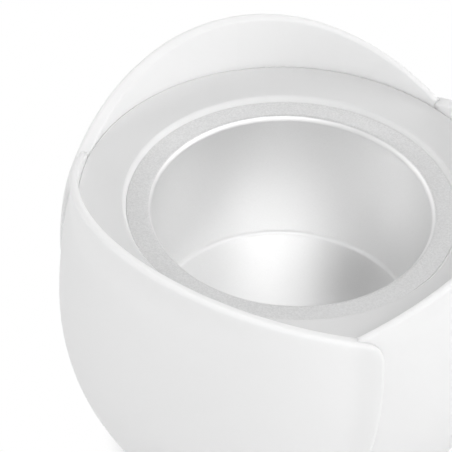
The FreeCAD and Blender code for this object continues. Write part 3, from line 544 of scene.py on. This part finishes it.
def pot_corners(size):
    """The corners of the pot's section, from the middle of the floor out, over the flange and back below."""
    mouth = size["Mouth radius"]
    floor = size["Floor height"]
    wall = size["Wall"]
    foot = mouth - size["Taper"]
    cut = mouth + size["Cut width"]
    cut_top = size["Mouth height"] + size["Cut height"]
    flange = cut + size["Flange width"]
    top = cut_top + size["Flange rise"]
    low = top - wall
    soft = size["Flange rounding"]
    return [
        (0.0, floor, 0.0),
        (foot, floor, size["Floor rounding"]),
        (mouth, size["Mouth height"], size["Cut rounding"]),
        (cut, cut_top, size["Cut rounding"]),
        (flange, top, soft),
        (flange, low, soft),
        (mouth + wall, low, 0.0),
        (foot + wall, floor - wall, size["Floor rounding"] + wall),
        (0.0, floor - wall, 0.0),
    ]


pot = turned("wax_pot_turned", "pot_metal", pot_sizes, pot_corners)
smooth(pot, crease=40.0)
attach(pot, "pot")
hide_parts("wax_pot")


# Casing pieces pressed home, so that the room left for assembly closes

bezel_low, bezel_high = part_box("bezel_ring")
bezel_outer = (bezel_high[0] - bezel_low[0]) / 2
bezel_edge = 0.7 * MM
bezel_growth = 0.64 * MM
petal_sector = math.radians(120.0)
start_edge = 0.45 * MM
start_reach = 50.0 * MM
lap_gap = 0.3 * MM
right_facing = math.atan2(control_way.y, control_way.x)
still = Vector((0.0, 0.0, 0.0))


def pressed(node, slot, shift):
    """A copy of a node in one smooth skin, its corners moved by a rule until they meet the next piece."""
    weld = 0.001 * MM
    mesh = bmesh.new()
    mesh.from_mesh(nodes[node].data)
    bmesh.ops.remove_doubles(mesh, verts=mesh.verts, dist=weld)
    for corner in mesh.verts:
        corner.co += shift(corner.co)
    name = node + "_pressed"
    data = bpy.data.meshes.new(name)
    mesh.to_mesh(data)
    mesh.free()
    piece = linked(name, data)
    dress(piece, slot)
    smooth(piece, crease=30.0)
    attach(piece, "housing")
    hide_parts(node)


def outer_edge(place):
    """The bezel's outer edge grows until it meets the petals."""
    if place.xy.length < bezel_outer - bezel_edge:
        return still
    return (place.xy.normalized() * bezel_growth).to_3d()


def petal_start(facing):
    """The start of a petal that faces this way moves back until it meets the petal before it."""
    turn = facing - petal_sector / 2
    out = Vector((math.cos(turn), math.sin(turn), 0.0))
    across = Vector((-math.sin(turn), math.cos(turn), 0.0))

    def shift(place):
        at_start = place.dot(out) > start_reach and place.dot(across) < start_edge
        return -lap_gap * across if at_start else still
    return shift


pressed("bezel_ring", "bezel_white", outer_edge)
pressed("petal_right", "casing_white", petal_start(right_facing))
pressed("petal_front", "casing_white", petal_start(right_facing - petal_sector))


# Signs printed on the controls

ink = 0.04 * MM
dial_sweep = math.radians(270.0)
scale_count = 11
pointer_depth = 0.98 * MM

scale_sizes = {
    "Marks": scale_count,
    "Marks to a long one": 5,
    "Start": -dial_sweep / 2,
    "Step": dial_sweep / (scale_count - 1),
    "Inner radius": 12.5 * MM,
    "Length": 0.7 * MM,
    "Long share": 1.5,
    "Width": 0.35 * MM,
    "Ink": ink,
}
pointer_sizes = {
    **scale_sizes,
    "Marks": 1,
    "Inner radius": 8.2 * MM,
    "Length": 2.2 * MM,
    "Long share": 1.0,
    "Width": 1.0 * MM,
}
power_sizes = {
    "Radius": 1.7 * MM,
    "Gap": math.radians(70.0),
    "Line": 0.45 * MM,
    "Ink": ink,
    "Steps": 40,
}


def control_place(node, front):
    """The middle of a node on the control side, at the front of another: X to the right, Y up, Z outward."""
    low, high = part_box(node)
    middle = (Vector(low) + Vector(high)) / 2
    face = max(corner.co.dot(control_way) for corner in nodes[front].data.vertices)
    middle += control_way * (face - middle.dot(control_way))
    up = Vector((0.0, 0.0, 1.0))
    turn = Matrix((up.cross(control_way), up, control_way)).transposed().to_4x4()
    return Matrix.Translation(middle) @ turn


def printed_marks(name, sizes, place):
    """Bars of ink in a ring, from the dial's off place on, with a longer one first and at each set count."""
    tree, size = start_tree(name, sizes)
    marks = size["Marks"]
    index = marks.node("GeometryNodeInputIndex")
    turn = size["Start"] + size["Step"] * index
    middle = size["Inner radius"] + size["Length"] / 2
    line = marks.node("GeometryNodeMeshLine", None, {"Count": marks})
    spot = marks.vector(turn.sine() * middle, turn.cosine() * middle, 0.0)
    points = marks.node("GeometryNodeSetPosition", None, {"Geometry": line, "Position": spot})
    bar_size = marks.vector(size["Width"], size["Length"], size["Ink"])
    bar = marks.node("GeometryNodeMeshCube", None, {"Size": bar_size})
    is_long = (index % size["Marks to a long one"]).is_zero()
    stretch = 1 + (size["Long share"] - 1) * is_long
    values = {"Points": points, "Instance": bar, "Rotation": marks.vector(0.0, 0.0, -turn)}
    values["Scale"] = marks.vector(1.0, stretch, 1.0)
    end_tree(tree, marks.node("GeometryNodeInstanceOnPoints", None, values), "component_black")
    return grown(name, tree, sizes, place)


def power_sign(name, sizes, place):
    """The open ring and bar that stand for power."""
    tree, size = start_tree(name, sizes)
    radius = size["Radius"]
    gap = size["Gap"]
    quarter = math.radians(90.0)
    values = {"Resolution": size["Steps"], "Radius": radius, "Start Angle": gap / 2 + quarter}
    values["Sweep Angle"] = 4 * quarter - gap
    arc = radius.node("GeometryNodeCurveArc", None, values)
    values = {"Width": size["Line"], "Height": size["Ink"]}
    section = radius.node("GeometryNodeCurvePrimitiveQuadrilateral", None, values)
    values = {"Curve": arc, "Profile Curve": section, "Fill Caps": True}
    ring = radius.node("GeometryNodeCurveToMesh", None, values)
    bar_size = radius.vector(size["Line"], radius, size["Ink"])
    bar = radius.node("GeometryNodeMeshCube", None, {"Size": bar_size})
    values = {"Geometry": bar, "Translation": radius.vector(0.0, radius, 0.0)}
    bar = radius.node("GeometryNodeTransform", None, values)
    sign = radius.node("GeometryNodeJoinGeometry", None, {0: [ring, bar]})
    end_tree(tree, sign, "component_black")
    return grown(name, tree, sizes, place)


fascia_face = control_place("dial_cap", "control_fascia")
groove_floor = control_place("dial_cap", "dial") @ Matrix.Translation((0.0, 0.0, -pointer_depth))
button_face = control_place("power_button", "power_button")
signs = (
    (printed_marks("scale_marks", scale_sizes, fascia_face), "housing"),
    (printed_marks("dial_pointer", pointer_sizes, groove_floor), "dial"),
    (power_sign("power_sign", power_sizes, button_face), "button"),
)
for sign, body in signs:
    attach(sign, body)


# Floor, light and camera

floor_size = 8.0
shadow_near = 50.0 * MM
shadow_far = 68.0 * MM

sky_level = 0.65
sky_more_from_right = 0.12
sky_less_from_above = 0.53

lamp_aim = Vector((0.0, 0.0, 0.1))
lamps = {
    "front_high": {"place": (-0.3, -0.9, 1.3), "width": 1.0, "height": 0.8, "power": 6.0},
    "front_low": {"place": (-0.4, -1.4, 0.35), "width": 1.4, "height": 0.5, "power": 1.3},
    "right_high": {"place": (0.35, -0.85, 1.3), "width": 0.8, "height": 0.8, "power": 3.8},
    "right_mid": {"place": (1.3, -0.5, 0.9), "width": 0.8, "height": 0.8, "power": 6.5},
    "back_right": {"place": (0.5, 0.8, 1.2), "width": 0.8, "height": 0.8, "power": 2.0},
    "back_left": {"place": (-0.6, 0.8, 1.2), "width": 0.8, "height": 0.8, "power": 1.8},
    "left_back": {"place": (-1.3, 0.7, 0.8), "width": 1.0, "height": 0.8, "power": 4.8},
    "left_low": {"place": (-1.4, -0.4, 0.3), "width": 1.0, "height": 0.5, "power": 1.4},
}

camera_place = Vector((-0.22093, -0.66003, 0.72039))
camera_azimuth = math.radians(-16.6)
camera_elevation = math.radians(41.764)
camera_roll = math.radians(2.351)
camera_lens = 207.08
camera_sensor = 36.0
camera_far = 20.0


def make_floor():
    """A plain white floor that keeps the shadow near the object and is bare white further out."""
    bpy.ops.mesh.primitive_plane_add(size=floor_size)
    floor = bpy.context.object
    floor.name = "floor"
    material = bpy.data.materials.new("floor_white")
    material.use_nodes = True
    tree = material.node_tree
    tree.nodes.clear()
    place = Field(tree, tree.nodes.new("ShaderNodeTexCoord").outputs["Object"])
    path = tree.nodes.new("ShaderNodeLightPath")
    seen = Field(tree, path.outputs["Is Camera Ray"])
    seen = seen.larger(Field(tree, path.outputs["Is Glossy Ray"]))
    seen = seen.larger(Field(tree, path.outputs["Is Transmission Ray"]))
    bare = round_distance(place).step(shadow_near, shadow_far)
    paper = place.node("ShaderNodeBsdfDiffuse", None, {"Color": grey(0.8)})
    white = place.node("ShaderNodeEmission", None, {"Color": grey(1.0), "Strength": 1.0})
    mixed = place.node("ShaderNodeMixShader", None, {0: seen * bare, 1: paper, 2: white})
    leave = tree.nodes.new("ShaderNodeOutputMaterial")
    feed(tree, leave.inputs["Surface"], mixed)
    floor.data.materials.append(material)


def make_sky():
    """Soft light from all round, strongest low down and a little stronger from the right."""
    world = bpy.data.worlds.new("studio")
    bpy.context.scene.world = world
    world.use_nodes = True
    tree = world.node_tree
    tree.nodes.clear()
    way = Field(tree, tree.nodes.new("ShaderNodeTexCoord").outputs["Generated"])
    level = sky_level + sky_more_from_right * way.axis("X") - sky_less_from_above * way.axis("Z")
    light = way.node("ShaderNodeBackground", None, {"Color": grey(1.0), "Strength": level})
    leave = tree.nodes.new("ShaderNodeOutputWorld")
    feed(tree, leave.inputs["Surface"], light)


def make_lamp(name, place, width, height, power):
    """A soft box at a place, aimed at the pot."""
    data = bpy.data.lights.new(name, "AREA")
    data.shape = "RECTANGLE"
    data.size = width
    data.size_y = height
    data.energy = power
    lamp = linked(name, data)
    lamp.location = place
    lamp.rotation_euler = (lamp_aim - Vector(place)).to_track_quat("-Z", "Y").to_euler()


def make_camera():
    """The photograph's own view: from the front left, looking down."""
    data = bpy.data.cameras.new("camera")
    data.sensor_width = camera_sensor
    data.lens = camera_lens
    data.clip_end = camera_far
    camera = linked("camera", data)
    turn = Matrix.Rotation(camera_azimuth, 4, "Z")
    tip = Matrix.Rotation(math.radians(90.0) - camera_elevation, 4, "X")
    roll = Matrix.Rotation(camera_roll, 4, "Z")
    camera.matrix_world = Matrix.Translation(camera_place) @ turn @ tip @ roll
    bpy.context.scene.camera = camera


make_floor()
make_sky()
for lamp_name, lamp_values in lamps.items():
    make_lamp(lamp_name, **lamp_values)
make_camera()
bpy.context.scene.view_settings.view_transform = "Standard"
